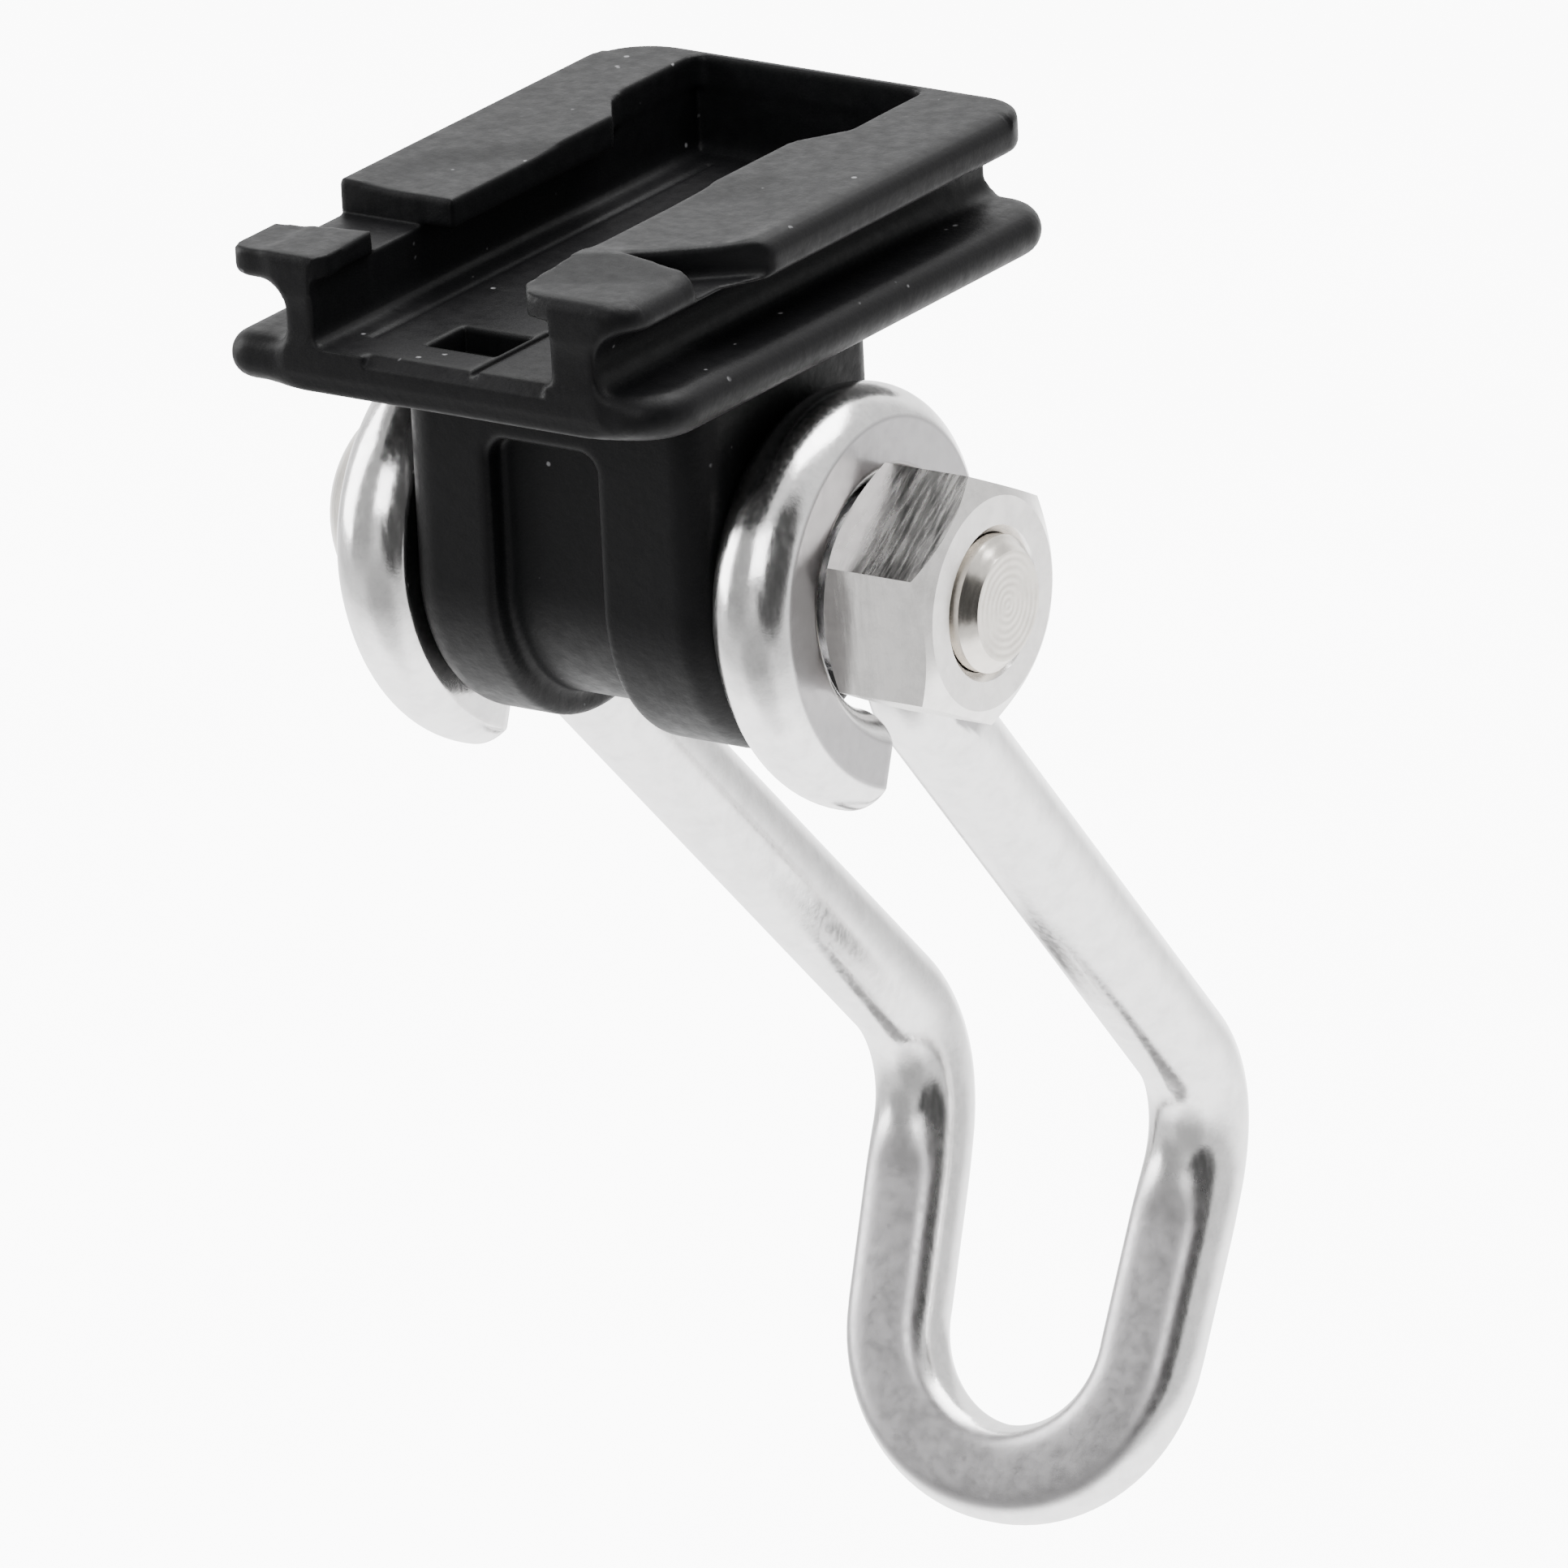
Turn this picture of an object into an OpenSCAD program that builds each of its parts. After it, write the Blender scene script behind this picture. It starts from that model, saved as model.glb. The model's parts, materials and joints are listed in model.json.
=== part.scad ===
// Adjustable wire-loop bracket: a moulded slide head that turns on a cross bolt between
// the two eyes of a bent stainless wire loop. Millimetres, +Z up.
// The origin is on the middle of the channel's floor, straight above the hinge axis. +X runs
// along the bolt to its nut and +Y along the slide channel to its closed end.
// Every shape is drawn from the hinge axis at the middle of the barrel and then moved.

/* [Hinge hardware] */
// Diameter of the cross bolt
bolt_d = 6; // [5.5:0.1:6.1]
// Width of the nut across its flats
nut_flats = 10; // [9.5:0.1:11]
// Height of the nut
nut_h = 5.5; // [4.5:0.1:6.5]
// Diameter of the bolt's button head
button_d = 10.5; // [9.5:0.1:11]
// Height of the bolt's button head
button_h = 4.2; // [3:0.1:4.6]
// Height of the straight rim under the button head's dome
button_rim = 0.9; // [0.3:0.1:1.2]
// Width of the hex socket in the button head
socket_flats = 4; // [3:0.5:4.5]
// Outer diameter of the steel sleeve that the hinge turns on
sleeve_d = 8; // [7.8:0.1:8]

/* [Wire loop] */
// Diameter of the wire
rod_d = 4.5; // [4.2:0.1:4.6]
// Radius of each eye, to the middle of the wire
eye_r = 6.3; // [6.3:0.1:6.5]
// Distance from the middle to the middle of each eye's wire
eye_x = 9.7; // [9.6:0.05:9.8]
// Thickness of each eye after its faces are pressed flat
eye_t = 3.75; // [3.6:0.05:3.8]
// Turn of the legs from hanging straight down
leg_tilt = 43.2; // [30:0.1:50]
// Distance that the legs' line passes in front of the hinge axis
leg_offset = 0.96; // [0.8:0.02:1.2]
// Distance from the hinge axis to the corner of the legs' bend
leg_l = 45.4; // [40:0.1:50]
// Half the space between the legs' middles at the bend
leg_x = 7.33; // [7.2:0.01:7.5]
// Angle of the legs' bend
bend_angle = 66.5; // [55:0.1:75]
// Radius of the legs' bend
bend_r = 6.4; // [5.5:0.1:7.5]
// Radius of the loop's round end
loop_r = 6.66; // [6:0.01:7]
// Distance from the bend's corner to the centre of the round end
loop_l = 11.9; // [11:0.1:16]
// Thickness of the loop between its two pressed faces
loop_t = 3.6; // [3.2:0.1:4]

/* [Barrel] */
// Radius of the barrel
barrel_r = 7.9; // [7.6:0.1:8]
// Radius of the barrel's rounded ends
barrel_round = 1.7; // [1:0.1:2]
// Width of the waist groove round the barrel
waist_w = 5.6; // [4:0.1:6]
// Depth of the waist groove
waist_depth = 1.2; // [0.8:0.1:1.5]
// Distance the waist groove sits to the left of the barrel's middle
waist_shift = 0.4; // [0:0.1:0.8]

/* [Slide head] */
// Width of the bottom plate
plate_w = 22.8; // [22:0.1:24]
// Height of the plate's underside above the hinge axis
plate_z = 10.35; // [10.3:0.05:11]
// Thickness of the plate, which is also the channel's floor
plate_t = 2.1; // [1.9:0.1:2.5]
// Distance from the hinge axis to the head's front
head_front = 14.9; // [14:0.1:16]
// Distance from the hinge axis to the plate's back edge
plate_back = 16; // [15.5:0.1:17]
// Distance from the hinge axis to the back of the rails
rail_back = 15.5; // [15:0.1:15.9]
// Width across the rails
rail_w = 21.5; // [21:0.1:22]
// Thickness of the rails' top flanges
rail_t = 1.8; // [1.7:0.1:2.1]
// Height of the channel under the rails' inner lips
channel_h = 2.95; // [2.8:0.05:3]
// Width of the channel under the lips
channel_w = 12.2; // [12:0.1:12.6]
// Width of the opening between the lips
mouth_w = 9; // [8.5:0.1:9.5]
// Sideways shift of the head from the middle of the barrel
head_shift = 0.5; // [0:0.1:0.6]

/* [Hidden] */
$fn = 64;

fit = 0.05;
face_gap = 0.1;
over = 1;

rod_r = rod_d / 2;
eye_out = 11.67;
eye_in = eye_out - eye_t;
eye_clear = 0.15;
barrel_l = 2 * (eye_in - face_gap);
sleeve_inset = 0.4;
sleeve_l = 2 * (eye_out - sleeve_inset);
bolt_proud = 0.8;
bolt_end = eye_out + nut_h + bolt_proud;

web_in = channel_w / 2;
web_out = 7.9;
channel_shift = 0.4;
floor_z = plate_z + plate_t;
lip_z = floor_z + channel_h;
flange_z = 15.1;
rail_z = flange_z + rail_t;
notch_z = 15.35;
tooth_drop = 0.5;
rail_front = -6.4;
lip_back = 6.3;
pocket_front = 9;
wall_front = 14.8;
floor_cove = 0.6;

// The eye's circle starts where it meets the leg's reverse bend, beside the leg.
eye_start = -72.8;
eye_end = 150;
tip_r = 9.5;
tip_sweep = 57;
reverse_r = 3.9;
join_gap = 0.08;
join_proud = 0.03;

// Two directions in the plane of the legs, seen from the side before the loop is tilted.
low_dir = [0, cos(-90 - bend_angle), sin(-90 - bend_angle)];
bend_at = [leg_x, -leg_offset, -leg_l];
loop_at = [0, -leg_offset, -leg_l] + loop_l * low_dir;
loop_reach = sqrt(leg_x * leg_x + loop_l * loop_l);
loop_start = acos(loop_r / loop_reach) - atan2(loop_l, leg_x);

function unit(v) = v / norm(v);

// Moves its children from the hinge axis to the origin on the channel's floor.
module from_hinge() {
    translate([head_shift, 0, -floor_z])
        children();
}

// Puts its children's X and Y axes along two directions at a point.
module frame(at, x, y) {
    z = cross(x, y);
    multmatrix([[x[0], y[0], z[0], at[0]],
                [x[1], y[1], z[1], at[1]],
                [x[2], y[2], z[2], at[2]],
                [0, 0, 0, 1]])
        children();
}

// An arc of wire round its own Z axis, from one angle through a sweep.
module rod_arc(radius, from, sweep) {
    rotate([0, 0, from])
        rotate_extrude(angle = sweep)
            translate([radius, 0])
                circle(r = rod_r);
}

// The round join between two stretches of wire.
module rod_join(at) {
    translate(at)
        sphere(r = rod_r + join_proud);
}

// A straight length of wire between two points, with a join at each end.
module rod_line(from, to) {
    way = to - from;
    rod_join(from);
    rod_join(to);
    translate(from)
        rotate([0, acos(way[2] / norm(way)), atan2(way[1], way[0])])
            translate([0, 0, join_gap])
                cylinder(r = rod_r, h = norm(way) - 2 * join_gap);
}

// The bend of a wire at a corner, between the way in and the way out.
module rod_bend(corner, way_in, way_out, radius) {
    turn = acos(way_in * way_out);
    side = unit(way_out - (way_in * way_out) * way_in);
    start = corner - radius * tan(turn / 2) * way_in;
    frame(start + radius * side, -side, way_in)
        rod_arc(radius, 0, turn);
}

// Distance from a bend's corner to where its arc begins.
function bend_reach(way_in, way_out, radius) = radius * tan(acos(way_in * way_out) / 2);

// One side of the wire: free tip, eye, reverse bend, leg and main bend.
module wire_side() {
    eye_point = [eye_x, eye_r * cos(eye_start), eye_r * sin(eye_start)];
    eye_way = [0, sin(eye_start), -cos(eye_start)];
    leg_at = eye_point + eye_way * (eye_point[1] + leg_offset) / -eye_way[1];
    loop_point = loop_at + [loop_r * cos(loop_start), 0, 0] + loop_r * sin(loop_start) * low_dir;
    leg_way = unit(bend_at - leg_at);
    low_way = unit(loop_point - bend_at);
    leg_end = bend_reach(leg_way, low_way, bend_r);

    frame([eye_x, 0, 0], [0, 1, 0], [0, 0, 1]) {
        rod_arc(eye_r, eye_start, eye_end - eye_start);
        translate((eye_r - tip_r) * [cos(eye_end), sin(eye_end), 0])
            rod_arc(tip_r, eye_end, tip_sweep);
    }
    rod_join(eye_point);
    rod_bend(leg_at, eye_way, leg_way, reverse_r);
    rod_line(leg_at + bend_reach(eye_way, leg_way, reverse_r) * leg_way, bend_at - leg_end * leg_way);
    rod_bend(bend_at, leg_way, low_way, bend_r);
    rod_line(bend_at + leg_end * low_way, loop_point);
}

// The wire bent to shape, before its faces are pressed flat.
module round_wire() {
    wire_side();
    mirror([1, 0, 0])
        wire_side();
    frame(loop_at, [1, 0, 0], low_dir)
        rod_arc(loop_r, loop_start, 180 - 2 * loop_start);
}

module wire_loop() {
    press = 4 * rod_d;
    press_from = 4.6;
    tip_reach = 2 * eye_r;
    tip_room = leg_offset + rod_r + eye_clear;
    press_l = loop_l - press_from + loop_r + rod_d;
    color("gainsboro")
        from_hinge()
            rotate([leg_tilt, 0, 0])
                difference() {
                    round_wire();
                    for (side = [-1, 1]) {
                        translate([side * (eye_out + press / 2), 0, 0])
                            cube([press, 6 * eye_r, 6 * eye_r], center = true);
                        frame(loop_at, [1, 0, 0], low_dir)
                            translate([0, loop_r + rod_d - press_l / 2, side * (loop_t / 2 + press / 2)])
                                cube([4 * loop_r, press_l, press], center = true);
                    }
                    rotate([0, 90, 0])
                        cylinder(r = eye_r + rod_r + eye_clear, h = 2 * eye_in, center = true);
                    translate([-eye_in, -tip_reach, -tip_reach])
                        cube([2 * eye_in, tip_reach - tip_room, tip_reach]);
                }
}

// A round bar along X, centred.
module cross_bar(radius, length) {
    rotate([0, 90, 0])
        cylinder(r = radius, h = length, center = true);
}

module pivot_sleeve() {
    color("silver")
        from_hinge()
            difference() {
                cross_bar(sleeve_d / 2, sleeve_l);
                cross_bar(bolt_d / 2 + fit, sleeve_l + over);
            }
}

module pivot_bolt() {
    root = 0.1;
    end_chamfer = 0.6;
    socket_depth = 2;
    shank_l = eye_out + root + bolt_end - end_chamfer;
    dome_h = button_h - button_rim;
    dome_r = (pow(button_d / 2, 2) + pow(dome_h, 2)) / (2 * dome_h);
    color("silver")
        from_hinge()
            difference() {
                union() {
                    translate([-eye_out - root, 0, 0])
                        rotate([0, 90, 0]) {
                            cylinder(d = bolt_d, h = shank_l);
                            translate([0, 0, shank_l])
                                cylinder(d1 = bolt_d, d2 = bolt_d - 2 * end_chamfer, h = end_chamfer);
                        }
                    intersection() {
                        translate([dome_r - button_h - eye_out, 0, 0])
                            sphere(r = dome_r, $fn = 96);
                        translate([-eye_out - button_h, 0, 0])
                            rotate([0, 90, 0])
                                cylinder(d = button_d, h = button_h);
                    }
                }
                translate([-eye_out - button_h - over, 0, 0])
                    rotate([0, 90, 0])
                        cylinder(d = socket_flats / cos(30), h = socket_depth + over, $fn = 6);
            }
}

module hex_nut() {
    corner_r = nut_flats / 2 / cos(30);
    chamfer_r = 4.67;
    chamfer_h = (corner_r - chamfer_r) * tan(30);
    countersink_r = 3.4;
    countersink_h = 0.4;
    corner_turn = 94.6;
    color("silver")
        from_hinge()
            translate([eye_out, 0, 0])
                rotate([corner_turn, 0, 0])
                    rotate([0, 90, 0])
                        difference() {
                            intersection() {
                                rotate([0, 0, 90])
                                    cylinder(r = corner_r, h = nut_h, $fn = 6);
                                rotate_extrude()
                                    polygon([[0, 0], [chamfer_r, 0], [corner_r, chamfer_h],
                                             [corner_r, nut_h - chamfer_h], [chamfer_r, nut_h], [0, nut_h]]);
                            }
                            translate([0, 0, -over])
                                cylinder(r = bolt_d / 2 + fit, h = nut_h + 2 * over);
                            translate([0, 0, nut_h - countersink_h])
                                cylinder(r1 = bolt_d / 2, r2 = 2 * countersink_r - bolt_d / 2,
                                         h = 2 * countersink_h);
                        }
}

// A plate outline between two Y values. The radii go from the front left corner to the front
// right, the back right and the back left.
module outline(width, front, back, r) {
    side = width / 2;
    corners = [[r[0] - side, front + r[0]], [side - r[1], front + r[1]],
               [side - r[2], back - r[2]], [r[3] - side, back - r[3]]];
    for (i = [0:3])
        translate(corners[i])
            circle(r = r[i]);
    polygon([[r[0] - side, front], [side - r[1], front], [side, front + r[1]], [side, back - r[2]],
             [side - r[2], back], [r[3] - side, back], [-side, back - r[3]], [-side, front + r[0]]]);
}

// Runs a section drawn in X and Z along Y.
module along_y(front, back) {
    translate([0, back, 0])
        rotate([90, 0, 0])
            linear_extrude(back - front)
                children();
}

// The concave corner that a rounded tool of a radius leaves, with its centre at a point.
module inside_corner(at, radius, x_way, z_way) {
    difference() {
        translate([at[0] + min(0, x_way * radius), at[1] + min(0, z_way * radius)])
            square(radius);
        translate(at)
            circle(r = radius);
    }
}

// Section of the plate, with full-round side edges.
module plate_section() {
    edge_r = plate_t / 2;
    translate([edge_r - plate_w / 2, plate_z])
        square([plate_w - plate_t, plate_t]);
    for (x = [-1, 1])
        translate([x * (plate_w / 2 - edge_r), plate_z + edge_r])
            circle(r = edge_r);
}

// Section of the right-hand rail: web, outer flange with eased edges, and coves.
module rail_section(inner) {
    edge_r = 0.4;
    side = rail_w / 2;
    top_cove = 1.4;
    foot_cove = 0.85;
    translate([inner, floor_z - over])
        square([web_out - inner, rail_z - floor_z + over]);
    translate([inner, flange_z])
        square([side - edge_r - inner, rail_t]);
    translate([inner, flange_z + edge_r])
        square([side - inner, rail_t - 2 * edge_r]);
    for (z = [flange_z + edge_r, rail_z - edge_r])
        translate([side - edge_r, z])
            circle(r = edge_r);
    inside_corner([web_out + top_cove, flange_z - top_cove], top_cove, -1, 1);
    inside_corner([web_out + foot_cove, floor_z + foot_cove], foot_cove, -1, -1);
    inside_corner([inner - floor_cove, floor_z + floor_cove], floor_cove, 1, -1);
}

// Plan of an inner lip from its front points back to the end wall.
module lip_plan(front_points) {
    pocket_x = web_in - 0.1;
    polygon(concat(front_points,
                   [[mouth_w / 2, lip_back], [pocket_x, pocket_front], [pocket_x, wall_front],
                    [web_in + over, wall_front]]));
}

module rails() {
    lip_x = mouth_w / 2;
    lip_h = rail_z - lip_z;
    lip_tip = [lip_x - 0.4, 1.3 - head_front];
    lip_kink = -10.5;
    intersection() {
        along_y(-head_front, rail_back) {
            rail_section(web_in - channel_shift);
            mirror([1, 0])
                rail_section(web_in + channel_shift);
        }
        translate([0, 0, plate_z])
            linear_extrude(rail_z)
                outline(rail_w, -head_front, rail_back, [1, 2, 1.8, 1.8]);
    }
    translate([-channel_shift, 0, lip_z]) {
        linear_extrude(lip_h)
            lip_plan([[web_in + over, -head_front], [lip_x + over, -head_front], lip_tip,
                      [lip_x, lip_kink]]);
        mirror([1, 0, 0])
            linear_extrude(lip_h)
                lip_plan([[web_in + over, rail_front], [lip_x, rail_front]]);
    }
    translate([-web_out, wall_front, floor_z - over])
        cube([2 * web_out, rail_back - wall_front, rail_z - floor_z + over]);
}

// What is taken out of the rails: the left notch, the right vee and the step down to both teeth.
module rail_cuts() {
    side = rail_w / 2 + over;
    cut_h = rail_z - notch_z + over;
    notch_in = -2;
    tooth_in = -10.4;
    tooth_out = -11.3;
    vee_tip = [5.9, -9.15];
    vee_front = -9.8;
    vee_back = -4.25;
    step_front = -10.6;
    step_back = -9.2;
    step_z = rail_z - tooth_drop;
    translate([0, 0, notch_z])
        linear_extrude(cut_h) {
            polygon([[-side, tooth_out], [notch_in, tooth_in], [notch_in, rail_front],
                     [-side, rail_front]]);
            polygon([vee_tip, [side, vee_front], [side, vee_back]]);
        }
    rotate([90, 0, 90])
        linear_extrude(2 * side, center = true)
            polygon([[-head_front - over, step_z], [step_front, step_z], [step_back, rail_z],
                     [step_back, rail_z + over], [-head_front - over, rail_z + over]]);
}

// Latch pocket, floor line and front chamfer in the channel's floor.
module floor_cuts() {
    lead = 0.5;
    pocket_at = [-2.3, -12.4];
    pocket_size = [3.5, 2.8];
    pocket_depth = 1.2;
    slit_x = 1.4;
    slit_size = [0.25, 6.4];
    slit_depth = 0.3;
    translate([pocket_at[0], pocket_at[1], floor_z - pocket_depth])
        cube([pocket_size[0], pocket_size[1], pocket_depth + over]);
    translate([slit_x, -head_front - over, floor_z - slit_depth])
        cube([slit_size[0], slit_size[1] + over, slit_depth + over]);
    rotate([90, 0, 90])
        translate([0, 0, -channel_shift])
            linear_extrude(channel_w - 2 * floor_cove, center = true)
                polygon([[-head_front - over, floor_z - lead], [-head_front, floor_z - lead],
                         [-head_front + lead, floor_z], [-head_front + lead, floor_z + over],
                         [-head_front - over, floor_z + over]]);
}

// The barrel with rounded ends and the neck that joins it to the plate.
module barrel() {
    half = barrel_l / 2;
    neck_back = 6.1;
    rotate([0, 90, 0])
        rotate_extrude() {
            translate([0, -half])
                square([barrel_r - barrel_round, barrel_l]);
            translate([0, barrel_round - half])
                square([barrel_r, barrel_l - 2 * barrel_round]);
            for (y = [-1, 1])
                translate([barrel_r - barrel_round, y * (half - barrel_round)])
                    circle(r = barrel_round);
        }
    linear_extrude(plate_z + plate_t / 2)
        outline(barrel_l, -barrel_r, neck_back, [barrel_round, barrel_round, barrel_round, barrel_round]);
}

// The waist groove: a ring under the barrel that runs up the neck's front and back.
module waist() {
    floor_r = barrel_r - waist_depth;
    top = 6.8;
    corner_r = 0.9;
    difference() {
        cross_bar(barrel_r + over, waist_w);
        cross_bar(floor_r, waist_w + over);
        translate([-waist_w, -2 * barrel_r, 0])
            cube([2 * waist_w, 4 * barrel_r, 2 * barrel_r]);
    }
    for (y = [-1, 1])
        translate([0, y * (floor_r + over), 0])
            rotate([90, 0, 0])
                linear_extrude(2 * over, center = true) {
                    translate([-waist_w / 2, 0])
                        square([waist_w, top - corner_r]);
                    translate([corner_r - waist_w / 2, 0])
                        square([waist_w - 2 * corner_r, top]);
                    for (x = [-1, 1])
                        translate([x * (waist_w / 2 - corner_r), top - corner_r])
                            circle(r = corner_r);
                }
}

// The plate, its rails and all that is cut out of them.
module slide_channel() {
    difference() {
        union() {
            intersection() {
                along_y(-head_front, plate_back)
                    plate_section();
                translate([0, 0, plate_z - over])
                    linear_extrude(plate_t + 2 * over)
                        outline(plate_w, -head_front, plate_back, [1.4, 2.8, 2.2, 2.2]);
            }
            rails();
        }
        rail_cuts();
        floor_cuts();
    }
}

module slide_head() {
    color("dimgray")
        from_hinge()
            difference() {
                union() {
                    translate([-head_shift, 0, 0])
                        slide_channel();
                    difference() {
                        barrel();
                        translate([-waist_shift, 0, 0])
                            waist();
                    }
                }
                cross_bar(sleeve_d / 2 + fit / 2, barrel_l + over);
            }
}

slide_head();
pivot_sleeve();
wire_loop();
pivot_bolt();
hex_nut();
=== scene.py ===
import json
import math

import bmesh
import bpy
import numpy as np
from mathutils import Matrix, Vector


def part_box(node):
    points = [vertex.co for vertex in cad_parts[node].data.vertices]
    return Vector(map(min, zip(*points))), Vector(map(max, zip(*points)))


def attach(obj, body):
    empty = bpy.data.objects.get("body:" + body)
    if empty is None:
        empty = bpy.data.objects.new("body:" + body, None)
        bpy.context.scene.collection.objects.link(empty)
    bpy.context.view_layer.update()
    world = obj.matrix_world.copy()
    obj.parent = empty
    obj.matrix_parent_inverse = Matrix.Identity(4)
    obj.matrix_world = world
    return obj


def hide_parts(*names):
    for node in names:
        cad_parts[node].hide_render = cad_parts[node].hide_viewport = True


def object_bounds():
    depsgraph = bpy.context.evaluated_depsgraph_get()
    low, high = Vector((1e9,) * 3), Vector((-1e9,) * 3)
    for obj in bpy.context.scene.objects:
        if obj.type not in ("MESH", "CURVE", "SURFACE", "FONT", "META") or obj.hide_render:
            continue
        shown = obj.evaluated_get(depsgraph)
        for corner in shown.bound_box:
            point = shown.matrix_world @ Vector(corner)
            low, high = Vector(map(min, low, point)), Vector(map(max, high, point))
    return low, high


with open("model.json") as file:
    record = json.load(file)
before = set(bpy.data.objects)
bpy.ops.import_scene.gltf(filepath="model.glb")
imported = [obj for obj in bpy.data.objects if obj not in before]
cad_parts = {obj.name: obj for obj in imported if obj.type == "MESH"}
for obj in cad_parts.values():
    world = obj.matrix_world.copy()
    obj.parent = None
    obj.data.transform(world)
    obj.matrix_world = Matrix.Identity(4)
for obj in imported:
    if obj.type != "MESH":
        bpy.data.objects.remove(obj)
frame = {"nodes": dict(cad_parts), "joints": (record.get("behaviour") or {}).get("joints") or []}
cad_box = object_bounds()

MM = 0.001                  # lengths are in millimetres, except in the studio


def millimetres(place):
    """A place in the frame, without the last digits of its conversion from metres."""
    return [round(v / MM, 3) for v in place]


HEAD_LOW, HEAD_HIGH = (millimetres(corner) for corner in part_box("slide_head"))
HINGE_X, _, HINGE_Z = millimetres(frame["joints"][0]["pos_m"])


# ---------------------------------------------------------------- camera
CAMERA_ROUND = 34.411       # degrees round from the front towards the nut
CAMERA_RISE = 19.524        # degrees above level
CAMERA_ROLL = -2.775        # degrees about the line of sight
CAMERA_DISTANCE = 1045.614
CAMERA_AIM = Vector((-0.01, 0, HINGE_Z))    # a point on the bolt's axis
AIM_LEFT, AIM_UP = 5.8498, 10.3264          # how far that point lies from the middle of the view
LENS, SENSOR = 558.6696, 36


def camera():
    """A long lens at the viewing angle that the object's own straight edges give."""
    turn, rise, roll = (math.radians(v) for v in (CAMERA_ROUND, CAMERA_RISE, CAMERA_ROLL))
    back = Vector((math.sin(turn) * math.cos(rise), -math.cos(turn) * math.cos(rise), math.sin(rise)))
    right = Vector((math.cos(turn), math.sin(turn), 0))
    up = back.cross(right)
    across = right * math.cos(roll) + up * math.sin(roll)
    upward = -right * math.sin(roll) + up * math.cos(roll)
    place = CAMERA_AIM + back * CAMERA_DISTANCE + across * AIM_LEFT - upward * AIM_UP
    data = bpy.data.cameras.new("camera")
    data.sensor_width, data.lens = SENSOR, LENS
    data.clip_start, data.clip_end = 0.05, 20       # metres
    cam = bpy.data.objects.new("camera", data)
    axes = Matrix((across, upward, back)).transposed()
    cam.matrix_world = Matrix.Translation(place * MM) @ axes.to_4x4()
    bpy.context.scene.collection.objects.link(cam)
    bpy.context.scene.camera = cam


# ---------------------------------------------------------------- distance fields
ARC_STEPS = 10              # straight pieces in each rounded corner of an outline


def fade(v, over):
    """0 where v is negative, 1 where it is beyond over, and a smooth step between."""
    v = np.clip(v / over, 0, 1)
    return v * v * (3 - 2 * v)


def round_and(a, b, r):
    """Intersection of two solids with their shared edge rounded to r."""
    return np.minimum(np.maximum(a, b), -r) + np.hypot(np.maximum(a + r, 0), np.maximum(b + r, 0))


def round_or(a, b, r):
    """Union of two solids with a fillet of radius r between them."""
    return -round_and(-a, -b, r)


def span(v, low, high):
    """Distance to a slab between two parallel planes."""
    return np.maximum(low - v, v - high)


def plan(x, y):
    """The grid's places seen from above."""
    return x[:, :, 0], y[:, :, 0]


def deep(values):
    """Values seen from above, repeated through the height."""
    return values[:, :, None]


def arc_corners(points):
    """Outline points from (x, y, radius) corners, each radius turned into a short arc."""
    out = []
    n = len(points)
    for i, (x, y, r) in enumerate(points):
        if not r:
            out.append((x, y))
            continue
        p = Vector((x, y))
        a = (Vector(points[i - 1][:2]) - p).normalized()
        b = (Vector(points[(i + 1) % n][:2]) - p).normalized()
        half = a.angle(b) / 2
        reach = r / math.tan(half)
        centre = p + (a + b).normalized() * r / math.sin(half)
        va, vb = p + a * reach - centre, p + b * reach - centre
        for k in range(ARC_STEPS + 1):
            v = va.lerp(vb, k / ARC_STEPS)
            out.append(tuple(centre + v.normalized() * r))
    return out


def polygon(points, X, Y):
    """Signed distance in plan to an outline of (x, y, radius) corners, negative inside."""
    pts = np.array(arc_corners(points))
    nearest2 = np.full(X.shape, np.inf)
    inside = np.zeros(X.shape, bool)
    for (x0, y0), (x1, y1) in zip(pts, np.roll(pts, -1, axis=0)):
        ex, ey = x1 - x0, y1 - y0
        t = np.clip(((X - x0) * ex + (Y - y0) * ey) / (ex * ex + ey * ey), 0, 1)
        nearest2 = np.minimum(nearest2, (X - x0 - t * ex) ** 2 + (Y - y0 - t * ey) ** 2)
        if ey:
            crosses = (y0 > Y) != (y1 > Y)
            inside ^= crosses & (X < x0 + ex * (Y - y0) / ey)
    d = np.sqrt(nearest2)
    return np.where(inside, -d, d)


def net_points(field, active):
    """Where the surface passes through each active cell, as a fraction of the cell."""
    corners = [(i, j, k) for i in (0, 1) for j in (0, 1) for k in (0, 1)]
    at = [field[tuple((active + c).T)] for c in corners]
    total = np.zeros((len(active), 3))
    hits = np.zeros(len(active))
    for a, corner in enumerate(corners):
        for axis in range(3):
            if corner[axis]:
                continue
            far = list(corner)
            far[axis] = 1
            fa, fb = at[a], at[corners.index(tuple(far))]
            change = (fa < 0) != (fb < 0)
            point = np.tile(np.array(corner, float), (len(active), 1))
            point[:, axis] = np.where(change, fa / np.where(change, fa - fb, 1), 0)
            total += point * change[:, None]
            hits += change
    return total / hits[:, None]


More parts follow.
